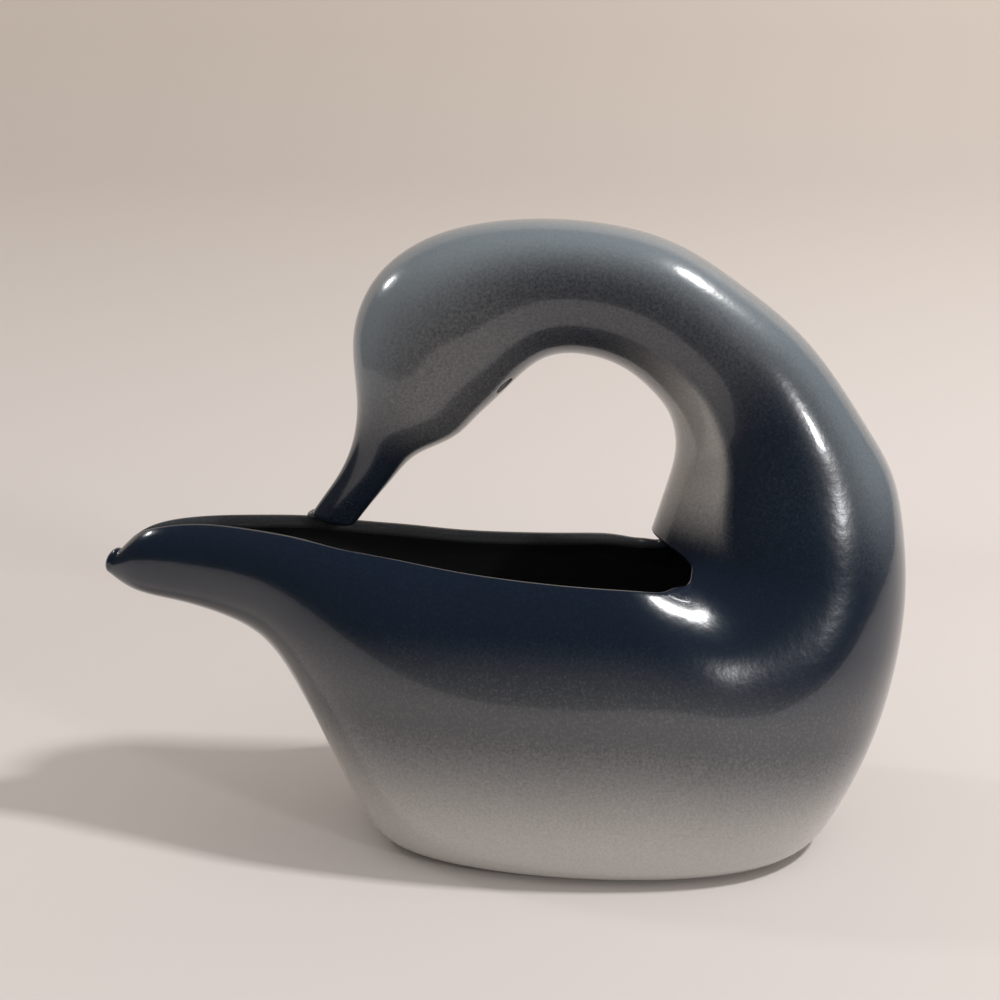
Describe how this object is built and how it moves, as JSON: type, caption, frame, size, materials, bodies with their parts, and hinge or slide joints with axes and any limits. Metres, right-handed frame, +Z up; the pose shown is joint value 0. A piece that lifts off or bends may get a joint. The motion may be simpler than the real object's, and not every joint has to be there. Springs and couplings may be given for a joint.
{
  "type": "swan bowl",
  "caption": "Glazed ceramic bowl in the form of a swan: a boat-shaped open body with a tail, and an arched neck whose beak rests on the rim.",
  "frame": {"origin": "middle of the bounding box on the surface that the foot ring stands on", "axes": "+Z up, +X from the tail towards the chest, +Y to the bird's left, which is the far side in the picture"},
  "size_m": [0.2366, 0.0956, 0.1799],
  "materials": {
    "bowl_glaze": "glossy sprayed glaze, navy at the rim fading to pale grey at the foot",
    "neck_glaze": "glossy sprayed glaze, navy flanks, grey head and blue-grey crown",
    "joining_slip": "matt fired clay under the glaze",
    "glaze_drop": "glossy glaze"
  },
  "bodies": {
    "root": {"bowl_body": "bowl_glaze", "neck_and_head": "neck_glaze", "neck_joint_slip": "joining_slip", "beak_glaze_drop": "glaze_drop"}
  },
  "joints": []
}
